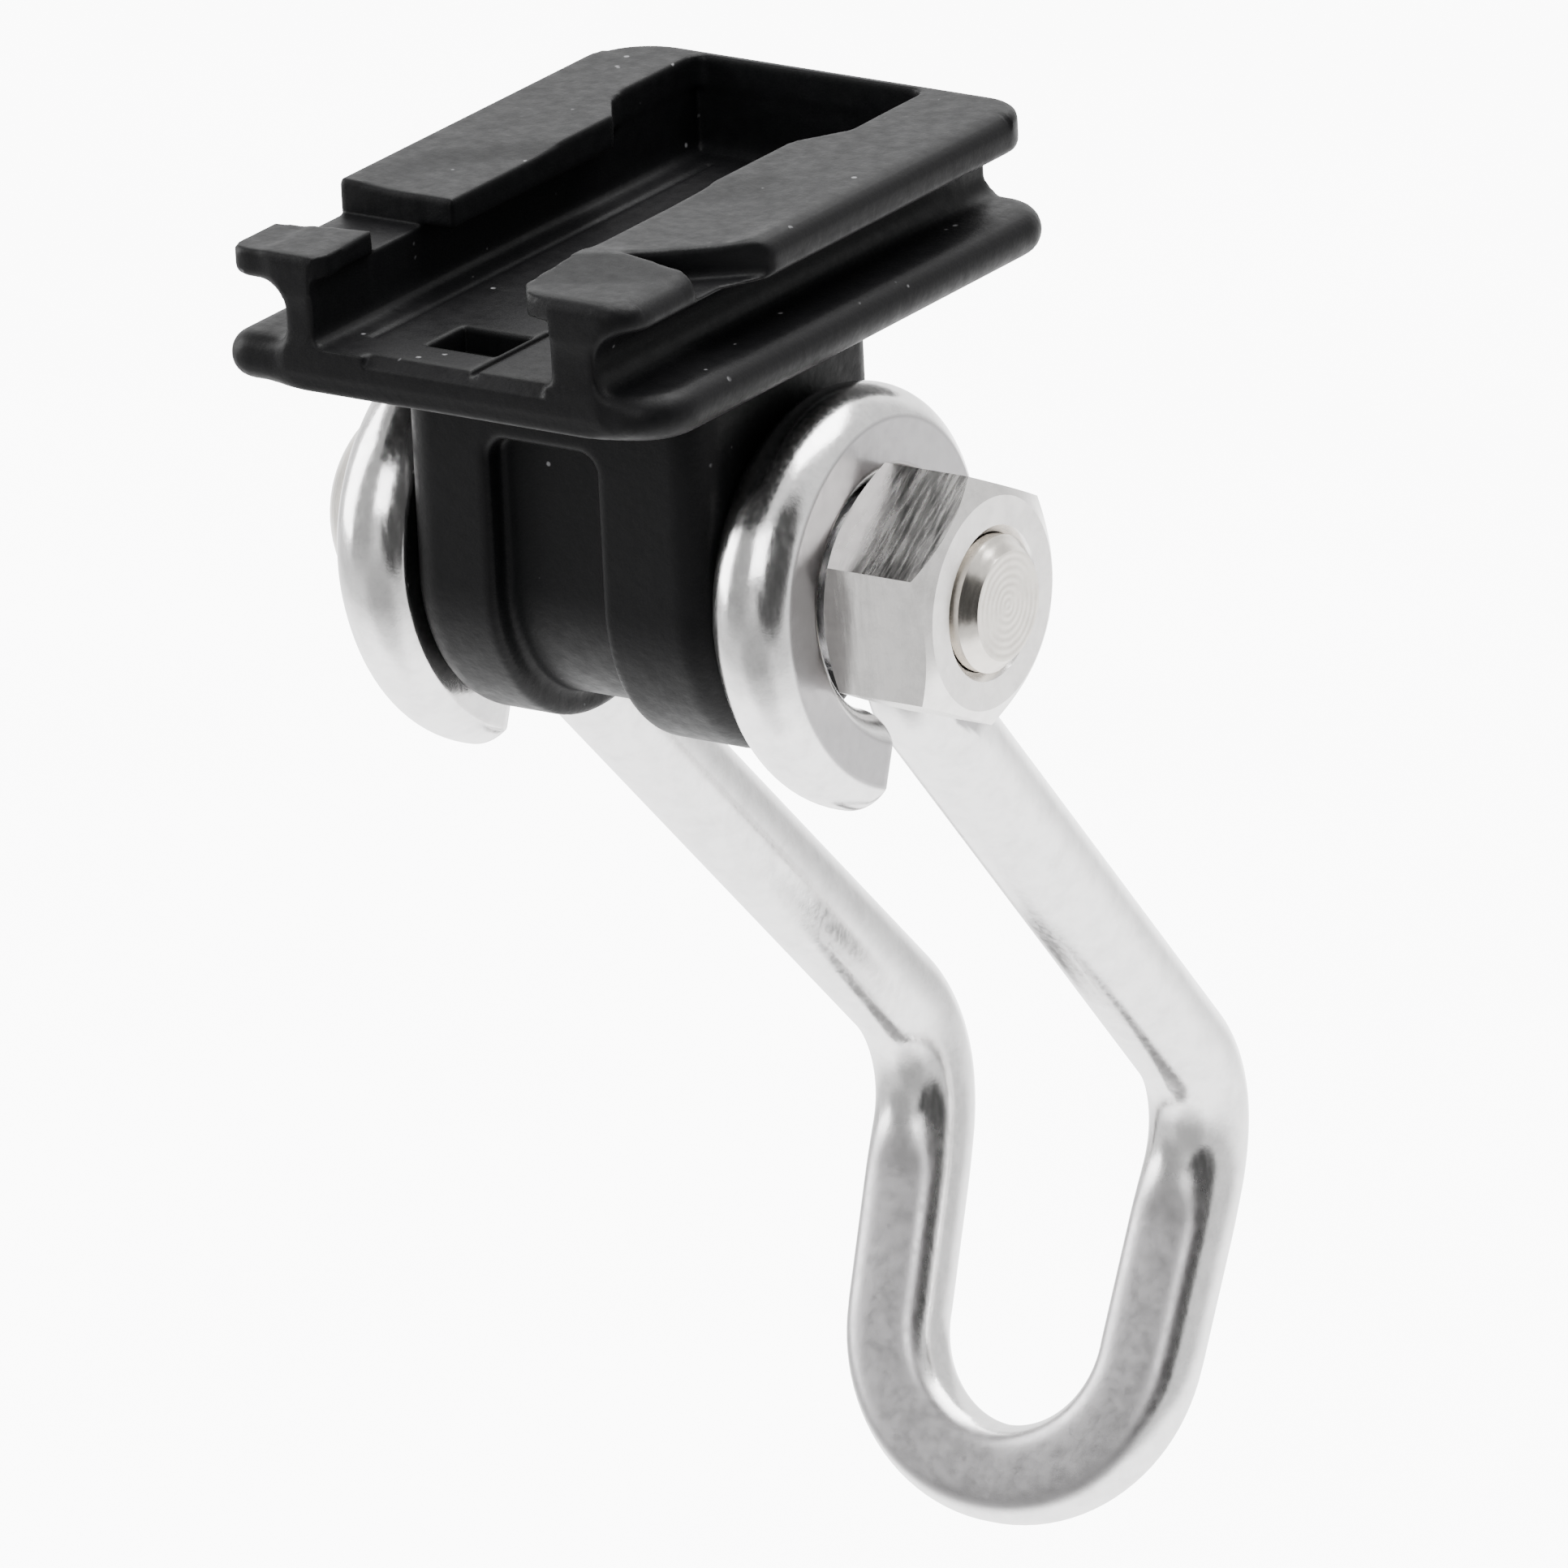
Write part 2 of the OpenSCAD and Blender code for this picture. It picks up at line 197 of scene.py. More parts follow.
def surface(field, low, step):
    """Quad mesh of a field's zero level by surface nets, as vertices and faces."""
    neg = field < 0
    shape = np.array(field.shape) - 1
    cut = [slice(0, -1), slice(1, None)]
    count = sum(neg[cut[i], cut[j], cut[k]].astype(np.int8)
                for i in (0, 1) for j in (0, 1) for k in (0, 1))
    active = np.argwhere((count > 0) & (count < 8))
    index = np.full(tuple(shape), -1, np.int64)
    index[tuple(active.T)] = np.arange(len(active))
    verts = np.array(low) + (active + net_points(field, active)) * step
    faces = []
    for axis in range(3):
        u, v = (axis + 1) % 3, (axis + 2) % 3
        first, second = [slice(None)] * 3, [slice(None)] * 3
        first[axis], second[axis] = cut
        cells = np.argwhere(neg[tuple(first)] != neg[tuple(second)])
        inner = (cells[:, u] > 0) & (cells[:, v] > 0) & (cells[:, u] < shape[u]) & (cells[:, v] < shape[v])
        cells = cells[inner]
        quad = []
        for du, dv in ((1, 1), (0, 1), (0, 0), (1, 0)):
            c = cells.copy()
            c[:, u] -= du
            c[:, v] -= dv
            quad.append(index[tuple(c.T)])
        quad = np.stack(quad, 1)
        flip = ~neg[tuple(cells.T)]
        quad[flip] = quad[flip][:, ::-1]
        faces.append(quad)
    return verts, np.concatenate(faces)


def add_piece(data, material, body, node):
    """A smooth-shaded piece that rides on a body and stands for a CAD node."""
    data.shade_smooth()
    data.materials.append(material)
    piece = bpy.data.objects.new(data.name, data)
    bpy.context.scene.collection.objects.link(piece)
    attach(piece, body)
    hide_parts(node)


# ---------------------------------------------------------------- moulded head
HEAD_STEP = 0.16            # spacing of the head's surface points
GRID_LOW, GRID_HIGH = (-11.7, -15.2, -20.7), (11.7, 16.3, 4.8)     # a little larger than the head
FRONT, PLATE_BACK, RAIL_BACK = HEAD_LOW[1], HEAD_HIGH[1], HEAD_HIGH[1] - 0.5
FLANGE, NOTCH, LIP, TOOTH, TOP = 2.65, 2.9, 2.95, 3.95, HEAD_HIGH[2]    # heights above the channel floor
WEB_FILLET, PLATE_FILLET, LUG_FILLET = 1.4, 0.85, 0.35
FRONT_EDGE_R, CUT_R, VEE_EDGE_R = 0.32, 0.1, 0.22                       # edges at the front and at the cuts

LEFT_STEP, RIGHT_STEP = -8.5, -8.6      # where the rails step down to the teeth
RAMP_FOOT, RAMP_X, RAMP_SLANT, RAMP_RUN = -13.6, 4.15, 0.55, 3.1
DIP = 0.16                              # depth of the lead-in dips


def rail_top(X, Y):
    """Height of the rails: a ramp or a step down to each tooth, and shallow lead-in dips."""
    ramp = (Y - RAMP_SLANT * (X - RAMP_X) - RAMP_FOOT) / RAMP_RUN
    ramp = TOOTH + (TOP - TOOTH) * np.clip(ramp, 0, 1)
    right = np.where(Y < RIGHT_STEP, np.minimum(TOP, ramp), TOP)
    left = np.where(Y < LEFT_STEP, TOOTH, TOP)
    left_dip = fade(0.9 * X + 7.2 - Y, 3) * fade(X + 10.3, 2.5) * fade(Y + 9, 1.5) * (X < 0)
    right_dip = fade(3.0 - Y - 0.9 * np.abs(X - 6.5), 4) * fade(10.2 - X, 1.5) * fade(Y + 10, 2) * (X > 0)
    return np.where(X > 0, right, left) - DIP * (left_dip + right_dip)


RAIL_HALF, TOOTH_SIDE = 10.74, 9.85
TOOTH_ZONE, BACK_ZONE = -13.6, 13.5     # where the edges of the rails' top change
LEFT_R, RIGHT_R, BACK_R = 0.22, 0.95, 0.45
LEFT_TOOTH_R, RIGHT_TOOTH_R = 0.2, 0.7
FLANGE_R = 0.45


def rails(x, y, z):
    """The slab that both rails are cut from, softer-edged on the right and sharper at the front."""
    X, Y = plan(x, y)
    outline = polygon([
        (-RAIL_HALF, FRONT, 1.0), (TOOTH_SIDE, FRONT, 1.9), (TOOTH_SIDE, -7.6, 0),
        (RAIL_HALF, -5.6, 0), (RAIL_HALF, RAIL_BACK, 2.2), (-RAIL_HALF, RAIL_BACK, 3.0),
    ], X, Y)
    edge = np.where(X > 0, RIGHT_R, LEFT_R)
    edge = np.where(Y < TOOTH_ZONE, np.where(X > 0, RIGHT_TOOTH_R, LEFT_TOOTH_R), edge)
    edge = np.where(Y > BACK_ZONE, BACK_R, edge)
    slab = round_and(deep(outline), z - deep(rail_top(X, Y)), deep(edge))
    return round_and(slab, FLANGE - z, FLANGE_R)


PLATE_HALF, PLATE_THICK = HEAD_HIGH[0], 2.1
PLATE_R, PLATE_TOP_R, PLATE_LOW_R = 1.02, 0.40, 0.32    # all round, and across the middle of the front


def plate(x, y, z):
    """The base plate, whose edge is sharper across the middle of its front."""
    X, Y = plan(x, y)
    outline = polygon([
        (-PLATE_HALF, FRONT, 1.4), (PLATE_HALF, FRONT, 2.8),
        (PLATE_HALF, PLATE_BACK, 2.2), (-PLATE_HALF, PLATE_BACK, 2.2),
    ], X, Y)
    sharp = fade(9.5 - np.abs(X), 2.5) * fade(-11.0 - Y, 3)
    solid = round_and(deep(outline), z, deep(PLATE_R + (PLATE_TOP_R - PLATE_R) * sharp))
    return round_and(solid, -PLATE_THICK - z, deep(PLATE_R + (PLATE_LOW_R - PLATE_R) * sharp))


WEB_HALF, WEB_SETBACK = 7.9, 0.05
WEB_BELOW, WEB_ABOVE = 1.0, 0.35        # how far it runs into the plate and into the rails


def web(x, y, z):
    """The block between the plate and the rails."""
    block = np.maximum(span(x, -WEB_HALF, WEB_HALF), span(y, FRONT + WEB_SETBACK, RAIL_BACK))
    return np.maximum(block, span(z, -WEB_BELOW, FLANGE + WEB_ABOVE))


LEFT_WALL, RIGHT_WALL, BACK_WALL = -6.5, 5.7, 14.8      # inner walls of the channel
FLOOR_R = 0.55
MOUTH_LOW, MOUTH_R = 0.7, 0.05


def channel(x, y, z):
    """The wide, low part of the channel, under the lips."""
    hollow = np.maximum(span(x, LEFT_WALL, RIGHT_WALL), y - BACK_WALL)
    return np.maximum(round_and(hollow, -z, FLOOR_R), z - LIP)


def mouth(x, y, z):
    """The opening between the rails, clockwise in plan from the front of the left one."""
    X, Y = plan(x, y)
    outline = polygon([
        (-6.5, -17, 0), (-6.5, -14.9, 0), (-6.05, -14.0, 0), (-6.2, -10.5, 0), (-6.5, -10.2, 0),
        (-6.5, -6.4, 0), (-4.9, -6.4, 0), (-4.9, 6.0, 0.6), (-6.2, 7.9, 1.2), (-6.5, 9.2, 0),
        (-6.5, BACK_WALL, 0.75), (5.45, BACK_WALL, 0.75), (5.55, 8.9, 1.2), (4.1, 6.4, 1.2),
        (4.1, -10.5, 0), (3.75, -13.5, 0.35), (4.5, -14.6, 0.5), (5.6, -14.9, 0), (5.6, -17, 0),
    ], X, Y)
    return round_and(deep(outline), MOUTH_LOW - z, MOUTH_R)


GUTTER_X, GUTTER_Z, GUTTER_R = -5.05, 0.16, 0.28
GUTTER_Y = (-12.6, 13.5)


def gutter(x, y, z):
    """A thin round groove along the floor, beside the left rail."""
    return np.maximum(np.hypot(x - GUTTER_X, z - GUTTER_Z) - GUTTER_R, span(y, *GUTTER_Y))


NOTCH_FRONT, NOTCH_BACK, NOTCH_INSIDE = -10.5, -6.4, -4.0
NOTCH_X, NOTCH_SLANT = -6.2, 0.17       # its front wall slants by this about this place
COVE_R, VEE_R = 0.9, 0.3


def left_notch(x, y, z):
    """The slot between the left tooth and rail, with a cove at its front."""
    notch = round_and((NOTCH_FRONT + NOTCH_SLANT * (x - NOTCH_X)) - y, NOTCH - z, COVE_R)
    return np.maximum(notch, np.maximum(y - NOTCH_BACK, x - NOTCH_INSIDE))


def right_vee(x, y, z):
    """The V between the right tooth and rail."""
    outline = polygon([(5.9, -9.15, 0), (13, -9.95, 0), (13, -3.2, 0)], *plan(x, y))
    return round_and(deep(outline), NOTCH - z, VEE_R)


POCKET_X, POCKET_Y, POCKET_FLOOR = (-2.3, 1.2), (-12.4, -9.6), -1.2
LINE_X, LINE_BACK, LINE_FLOOR = (1.38, 1.66), -8.5, -0.3
CHAMFER, CHAMFER_X, CHAMFER_Z = 0.55, (-3.9, 5.3), (-1.5, 0.6)


def floor_cuts(x, y, z):
    """Latch pocket, fine line and front chamfer of the channel's floor."""
    pocket = np.maximum(np.maximum(span(x, *POCKET_X), span(y, *POCKET_Y)), POCKET_FLOOR - z)
    line = np.maximum(np.maximum(span(x, *LINE_X), y - LINE_BACK), LINE_FLOOR - z)
    chamfer = ((y - FRONT) - z - CHAMFER) * math.sqrt(0.5)
    chamfer = np.maximum(np.maximum(chamfer, span(x, *CHAMFER_X)), span(z, *CHAMFER_Z))
    return np.minimum(np.minimum(pocket, line), chamfer)


BARREL_HALF, BARREL_R, BARREL_END_R, BORE_R = 7.82, 7.9, 1.7, 4.03
NECK_BACK, NECK_TOP = 6.1, -0.9
WAIST_X, WAIST_HALF, WAIST_R, WAIST_TOP = 0.07, 2.78, 6.7, 6.8
WAIST_TOP_R, WAIST_FLOOR_R, WAIST_EDGE_R = 0.9, 0.3, 0.4


def lug(x, y, z):
    """Neck and barrel, with the waist groove round both."""
    high = z - HINGE_Z
    radial = np.hypot(y, high)
    ends = np.abs(x - HINGE_X) - BARREL_HALF
    barrel = round_and(ends, radial - BARREL_R, BARREL_END_R)
    neck = round_and(ends, span(y, -BARREL_R, NECK_BACK), BARREL_END_R)
    neck = np.maximum(neck, span(z, HINGE_Z, NECK_TOP))
    core = np.where(high > 0, np.abs(y) - WAIST_R, radial - WAIST_R)
    groove = round_and(np.abs(x - WAIST_X) - WAIST_HALF, high - WAIST_TOP, WAIST_TOP_R)
    groove = round_and(groove, -core, WAIST_FLOOR_R)
    return round_and(np.minimum(barrel, neck), -groove, WAIST_EDGE_R)


def head_field(x, y, z):
    """Distance to the whole moulding, negative inside it."""
    body = np.maximum(round_or(rails(x, y, z), web(x, y, z), WEB_FILLET), y - RAIL_BACK)
    body = round_or(body, plate(x, y, z), PLATE_FILLET)
    body = round_and(body, FRONT - y, FRONT_EDGE_R)
    body = round_and(body, -channel(x, y, z), CUT_R)
    body = round_and(body, -mouth(x, y, z), CUT_R)
    body = np.maximum(body, -gutter(x, y, z))
    body = round_and(body, -left_notch(x, y, z), CUT_R)
    body = round_and(body, -right_vee(x, y, z), VEE_EDGE_R)
    body = np.maximum(body, -floor_cuts(x, y, z))
    body = round_or(body, lug(x, y, z), LUG_FILLET)
    return np.maximum(body, BORE_R - np.hypot(y, z - HINGE_Z))


def build_head(material):
    """The moulded head as one closed skin, in place of its plainer CAD solid."""
    axes = [np.arange(a, b, HEAD_STEP, dtype=np.float32) for a, b in zip(GRID_LOW, GRID_HIGH)]
    grid = np.meshgrid(*axes, indexing="ij")
    verts, faces = surface(head_field(*grid).astype(np.float32), GRID_LOW, HEAD_STEP)
    data = bpy.data.meshes.new("head_shell")
    data.vertices.add(len(verts))
    data.vertices.foreach_set("co", (verts.astype(np.float32) * MM).ravel())
    data.loops.add(faces.size)
    data.loops.foreach_set("vertex_index", faces.astype(np.int32).ravel())
    data.polygons.add(len(faces))
    data.polygons.foreach_set("loop_start", np.arange(0, faces.size, 4, dtype=np.int32))
    data.update(calc_edges=True)
    data.validate()
    add_piece(data, material, "head", "slide_head")


# ---------------------------------------------------------------- bent wire
ROD_R = 2.22
EYE_X, EYE_R = 9.7, 6.3                     # middle of an eye and radius of its centre line
EYE_IN = 7.92                               # its flat inner face
EYE_OUT = millimetres(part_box("wire_loop")[1])[0] - HINGE_X      # and outer face
EYE_START, EYE_END = -72.8, 150.0           # degrees round the eye, from the leg to the tip
TIP_R, TIP_SWEEP = 9.5, 57.0                # the last stretch to the free tip opens out
TIP_CAP = ((0.8, 0.0), (0.93, 0.03), (0.98, 0.1))    # its rounded end: width, and place along the wire
TIP_ROUND = 0.22
REVERSE_R = 3.9                             # bend between eye and leg
LEG_X, LEG_FRONT, LEG_L = 7.33, 0.96, 45.4
LEG_TILT = math.radians(43.2)
BEND, BEND_R = math.radians(66.5), 6.4      # turn from the legs into the loop
LOOP_R, LOOP_L = 6.66, 11.9
TIP_STEPS, EYE_STEPS, REVERSE_STEPS, LEG_STEPS, BEND_STEPS, LOOP_STEPS = 20, 89, 10, 40, 22, 24
RING = 96                                   # points round the wire
CROWN = 9.0                                 # how crisp the edges of the pressed flats are
PRESS_START, PRESS_RUN = 2.0, 4.4           # where past the bend the flats begin, and over what length
PRESS_DEPTH, PRESS_CLEAR = 0.42, 0.9        # how far each flat is pressed in, and its room before that
SPREAD, SPREAD_LOSS = 0.16, 0.02            # how much wider the wire gets there
FLAT_FROM, FLAT_FADE = 0.5, 0.25            # share of the rod's radius at which a flat's finish begins
FACE_END, FACE_FADE = 8.2, 2.6              # distance from the hinge where the eye's inner face fades out
FACE_SKIN = 0.02                            # points this near an eye's outer face belong to it
AXIS_X = Vector((1, 0, 0))
LOW = Vector((0, math.cos(-math.pi / 2 - BEND), math.sin(-math.pi / 2 - BEND)))    # way down the loop
BEND_AT = Vector((LEG_X, -LEG_FRONT, -LEG_L))
LOOP_AT = Vector((0, -LEG_FRONT, -LEG_L)) + LOW * LOOP_L


def turn(v, axis, angle):
    """A vector turned about an axis."""
    return Matrix.Rotation(angle, 3, axis) @ v


def corner_arc(corner, way_in, way_out, radius, steps, stage):
    """Fillet at a corner of the wire's line."""
    angle = way_in.angle(way_out)
    axis = way_in.cross(way_out).normalized()
    side = (way_out - way_in * way_in.dot(way_out)).normalized()
    start = corner - way_in * radius * math.tan(angle / 2)
    centre = start + side * radius
    angles = [angle * k / steps for k in range(steps + 1)]
    return [(centre + turn(start - centre, axis, a), turn(way_in, axis, a), stage) for a in angles]


def straight(start, end, way, steps, stage):
    """The points between two ends, without the ends."""
    return [(start.lerp(end, k / steps), way, stage) for k in range(1, steps)]


def eye_line():
    """Centre line from the free tip round the eye."""
    def around(radius, degrees, centre=(0, 0)):
        a = math.radians(degrees)
        return Vector((EYE_X, centre[0] + radius * math.cos(a), centre[1] + radius * math.sin(a)))

    def along(degrees):
        a = math.radians(degrees)
        return Vector((0, math.sin(a), -math.cos(a)))

    end = math.radians(EYE_END)
    tip_centre = ((EYE_R - TIP_R) * math.cos(end), (EYE_R - TIP_R) * math.sin(end))
    line = []
    for k in range(TIP_STEPS):
        d = EYE_END + TIP_SWEEP * (1 - k / TIP_STEPS)
        line.append((around(TIP_R, d, tip_centre), along(d), "tip"))
    for k in range(EYE_STEPS + 1):
        d = EYE_END + (EYE_START - EYE_END) * k / EYE_STEPS
        line.append((around(EYE_R, d), along(d), "eye"))
    return line


def round_line(start):
    """Centre line round the bottom of the loop, from an angle to its lowest point."""
    line = []
    for k in range(LOOP_STEPS + 1):
        a = start + (math.pi / 2 - start) * k / LOOP_STEPS
        radial = AXIS_X * math.cos(a) + LOW * math.sin(a)
        line.append((LOOP_AT + radial * LOOP_R, LOW * math.cos(a) - AXIS_X * math.sin(a), "round"))
    return line


def wire_half():
    """Centre line of the right half before it is tilted, from the free tip to the bottom of the loop.
    Each station is point, direction, normal across the loop, side, stage, and distance past the bend."""
    reach = math.hypot(LEG_X, LOOP_L)
    start = math.acos(LOOP_R / reach) - math.atan2(LOOP_L, LEG_X)
    round_part = round_line(start)
    loop_point = round_part[0][0]
    line = eye_line()
    eye_point, eye_way, _ = line[-1]
    leg_at = eye_point + eye_way * (eye_point.y + LEG_FRONT) / -eye_way.y
    leg_way = (BEND_AT - leg_at).normalized()
    low_way = (loop_point - BEND_AT).normalized()
    bend = corner_arc(BEND_AT, leg_way, low_way, BEND_R, BEND_STEPS, "bend")
    line += corner_arc(leg_at, eye_way, leg_way, REVERSE_R, REVERSE_STEPS, "leg")[1:]
    line += straight(line[-1][0], bend[0][0], leg_way, LEG_STEPS, "leg") + bend
    line += straight(line[-1][0], loop_point, low_way, LOOP_STEPS, "loop") + round_part
    stations = []
    for p, way, stage in line:
        normal = AXIS_X.cross(LOW) if stage == "round" else AXIS_X.cross(way).normalized()
        side = way.cross(normal).normalized()
        outward = p - LOOP_AT if stage == "round" else AXIS_X
        if side.dot(outward) < 0:
            side = -side
        stations.append((p, way, normal, side, stage, (p - BEND_AT).dot(LOW)))
    return stations


def ring_points(station, theta):
    """One cross-section of the wire, and how flat it is: pressed on the loop, cut on the eyes' faces."""
    p, _, normal, side, stage, past = station
    press = float(fade(past - PRESS_START, PRESS_RUN)) if stage in ("bend", "loop", "round") else 0.0
    off_middle = max(0.0, p.x / LEG_X) if stage == "round" else 1.0
    wide = ROD_R + press * (SPREAD * off_middle - SPREAD_LOSS)
    s, n = wide * np.cos(theta), ROD_R * np.sin(theta)
    limit = ROD_R + PRESS_CLEAR * (1 - press) - press * PRESS_DEPTH
    squeezed = n / (1 + np.abs(n / limit) ** CROWN) ** (1 / CROWN)
    flat = press * fade(np.abs(n) / ROD_R - FLAT_FROM, FLAT_FADE)
    n = n + (squeezed - n) * press
    points = np.array(p) + s[:, None] * np.array(side) + n[:, None] * np.array(normal)
    if stage in ("tip", "eye", "leg"):
        from_axis = np.hypot(points[:, 1], points[:, 2])
        keep = fade(from_axis - FACE_END, FACE_FADE) if stage == "leg" else 0
        flat = np.maximum(flat, points[:, 0] > EYE_OUT - FACE_SKIN)
        points[:, 0] = np.clip(points[:, 0], EYE_IN * (1 - keep), EYE_OUT)
    return points, flat


def wire_rings():
    """All cross-sections from tip to tip, and their flatness."""
    theta = np.arange(RING) * 2 * math.pi / RING
    half = wire_half()
    sections = [ring_points(station, theta) for station in half]
    tip, way = np.array(half[0][0]), np.array(half[0][1])
    end = sections[0][0]
    cap = [tip + (end - tip) * width + way * back for width, back in TIP_CAP]
    rings = cap + [end + way * TIP_ROUND] + [points for points, _ in sections[1:]]
    flats = [np.zeros(RING)] * len(cap) + [flat for _, flat in sections]
    mirrored = [r * np.array((-1, 1, 1)) for r in rings[-2::-1]]
    return rings + mirrored, flats + flats[-2::-1]


def build_wire(material):
    """The whole bent rod as one closed skin, in place of its plainer CAD solid."""
    rings, flats = wire_rings()
    verts = np.concatenate(rings)
    c, s = math.cos(LEG_TILT), math.sin(LEG_TILT)
    y, z = verts[:, 1].copy(), verts[:, 2].copy()
    verts[:, 1], verts[:, 2] = y * c - z * s, y * s + z * c
    verts += np.array((HINGE_X, 0, HINGE_Z))
    last = (len(rings) - 1) * RING
    faces = [tuple(range(RING))[::-1]]
    for a in range(0, last, RING):
        b = a + RING
        faces += [(a + k, a + (k + 1) % RING, b + (k + 1) % RING, b + k) for k in range(RING)]
    faces.append(tuple(range(last, last + RING)))
    data = bpy.data.meshes.new("bent_wire")
    data.from_pydata((verts * MM).tolist(), [], faces)
    pressed = data.attributes.new("pressed", "FLOAT", "POINT")
    pressed.data.foreach_set("value", np.concatenate(flats).astype(np.float32))
    bm = bmesh.new()
    bm.from_mesh(data)
    bmesh.ops.recalc_face_normals(bm, faces=bm.faces)
    bm.to_mesh(data)
    bm.free()
    add_piece(data, material, "loop", "wire_loop")


# ---------------------------------------------------------------- materials
class Nodes:
    """A short way to add and join nodes."""

    def __init__(self, tree):
        self.tree = tree

    def add(self, kind, values=None, links=None, **settings):
        node = self.tree.nodes.new(kind)
        for key, value in settings.items():
            setattr(node, key, value)
        for key, value in (values or {}).items():
            node.inputs[key].default_value = value
        for key, socket in (links or {}).items():
            self.tree.links.new(socket, node.inputs[key])
        return node

    def product(self, a, b):
        return self.add("ShaderNodeMath", links={0: a, 1: b}, operation="MULTIPLY").outputs[0]


class Looks(Nodes):
    """The nodes of one material. Scales are per metre, bump distances in millimetres."""

    def __init__(self, name, **constants):
        self.material = bpy.data.materials.new(name)
        self.material.use_nodes = True
        super().__init__(self.material.node_tree)
        self.shader = self.tree.nodes["Principled BSDF"]
        for key, value in constants.items():
            self.shader.inputs[key.replace("_", " ")].default_value = value

    def link(self, socket, name):
        self.tree.links.new(socket, self.shader.inputs[name])

    def place(self):
        return self.add("ShaderNodeTexCoord").outputs["Object"]

    def ramp(self, socket, stops):
        node = self.add("ShaderNodeValToRGB", links={"Fac": socket})
        ramp = node.color_ramp
        while len(ramp.elements) < len(stops):
            ramp.elements.new(0.5)
        for element, (at, value) in zip(ramp.elements, stops):
            element.position = at
            element.color = (*value, 1) if isinstance(value, tuple) else (value, value, value, 1)
        return node.outputs["Color"]

    def noise(self, scale, detail=2.0, rough=0.5, stretch=None):
        at = self.place()
        if stretch:
            at = self.add("ShaderNodeMapping", {"Scale": stretch}, {"Vector": at}).outputs["Vector"]
        values = {"Scale": scale, "Detail": detail, "Roughness": rough}
        return self.add("ShaderNodeTexNoise", values, {"Vector": at}).outputs["Fac"]

    def bump(self, socket, strength, distance, under=None):
        links = {"Height": socket}
        if under:
            links["Normal"] = under
        values = {"Strength": strength, "Distance": distance * MM}
        return self.add("ShaderNodeBump", values, links).outputs["Normal"]

    def mix(self, mask, first, second):
        """From the first to the second as the mask rises. The second may be a plain colour."""
        node = self.add("ShaderNodeMix", links={0: mask, 6: first}, data_type="RGBA")
        if isinstance(second, tuple):
            node.inputs[7].default_value = (*second, 1)
        else:
            self.tree.links.new(second, node.inputs[7])
        return node.outputs[2]


def nylon():
    """Charcoal glass-filled nylon: matte, faintly mottled, with sparse light specks."""
    n = Looks("moulded_nylon_looks", Specular_IOR_Level=0.13)
    base = n.ramp(n.noise(260, 3, 0.6), [(0.3, (0.0021, 0.0021, 0.0024)), (0.7, (0.0030, 0.0030, 0.0034))])
    cells = n.add("ShaderNodeTexVoronoi", {"Scale": 900.0}, {"Vector": n.place()}, feature="F1")
    dots = n.ramp(cells.outputs["Distance"], [(0.08, 1.0), (0.13, 0.0)])
    chosen = n.ramp(n.noise(620, 2, 0.6), [(0.57, 0.0), (0.63, 1.0)])
    n.link(n.mix(n.product(dots, chosen), base, (0.16, 0.16, 0.165)), "Base Color")
    n.link(n.ramp(n.noise(1400, 3, 0.6), [(0.3, 0.42), (0.7, 0.54)]), "Roughness")
    grain = n.bump(n.noise(2600, 3, 0.6), 0.35, 0.05)
    n.link(n.bump(n.noise(1100, 2, 0.5), 0.10, 0.03, grain), "Normal")
    return n.material


def steel(name, tone, low, high, grain, stretch, pressed=False, rings=False):
    """Stainless steel: fine drawn or turned lines of roughness low to high, with optional duller
    pressed flats, and optional turned rings about the bolt's axis."""
    n = Looks(name, Metallic=1.0)
    light = n.ramp(n.noise(900, 5, 0.7), [(0.32, tuple(c * 0.84 for c in tone)), (0.58, tone)])
    fine = n.noise(grain, 3, 0.55, stretch)
    rough = n.ramp(fine, [(0.3, low), (0.7, high)])
    if pressed:
        mask = n.add("ShaderNodeAttribute", attribute_name="pressed").outputs["Fac"]
        light = n.mix(mask, light, (0.40, 0.39, 0.395))
        rough = n.mix(mask, rough, n.ramp(n.noise(1500, 4, 0.65), [(0.3, 0.30), (0.7, 0.46)]))
    n.link(light, "Base Color")
    n.link(rough, "Roughness")
    speckle = n.bump(n.noise(1900, 4, 0.65), 0.22 if pressed else 0.1, 0.03)
    normal = n.bump(fine, 0.12, 0.02, speckle)
    if rings:
        centre = n.add("ShaderNodeMapping", {"Location": (0, 0, -HINGE_Z * MM)}, {"Vector": n.place()})
        ring = n.add("ShaderNodeTexWave", {"Scale": 900.0, "Distortion": 1.5, "Detail": 1.0},
                     {"Vector": centre.outputs["Vector"]}, wave_type="RINGS", rings_direction="X")
        normal = n.bump(ring.outputs["Fac"], 0.25, 0.02, normal)
    n.link(normal, "Normal")
    return n.material


def dress(name, material, edge):
    """Give a CAD node its material and slightly rounded edges, without touching its mesh."""
    obj = frame["nodes"][name]
    for slot in obj.material_slots:
        slot.material = material
    mod = obj.modifiers.new("edges", "BEVEL")
    mod.width, mod.segments = edge * MM, 3
    mod.limit_method, mod.angle_limit = "ANGLE", math.radians(30)
    mod.harden_normals = True


# ---------------------------------------------------------------- studio, in metres
FLOOR_HALF, FLOOR_DROP = 3.0, 0.012
FLOOR_GLOW, ROOM_GLOW = 8.0, 1.2
SEEN_GLOW = FLOOR_GLOW + 0.9 * ROOM_GLOW    # white behind the object, about as bright as the floor looks
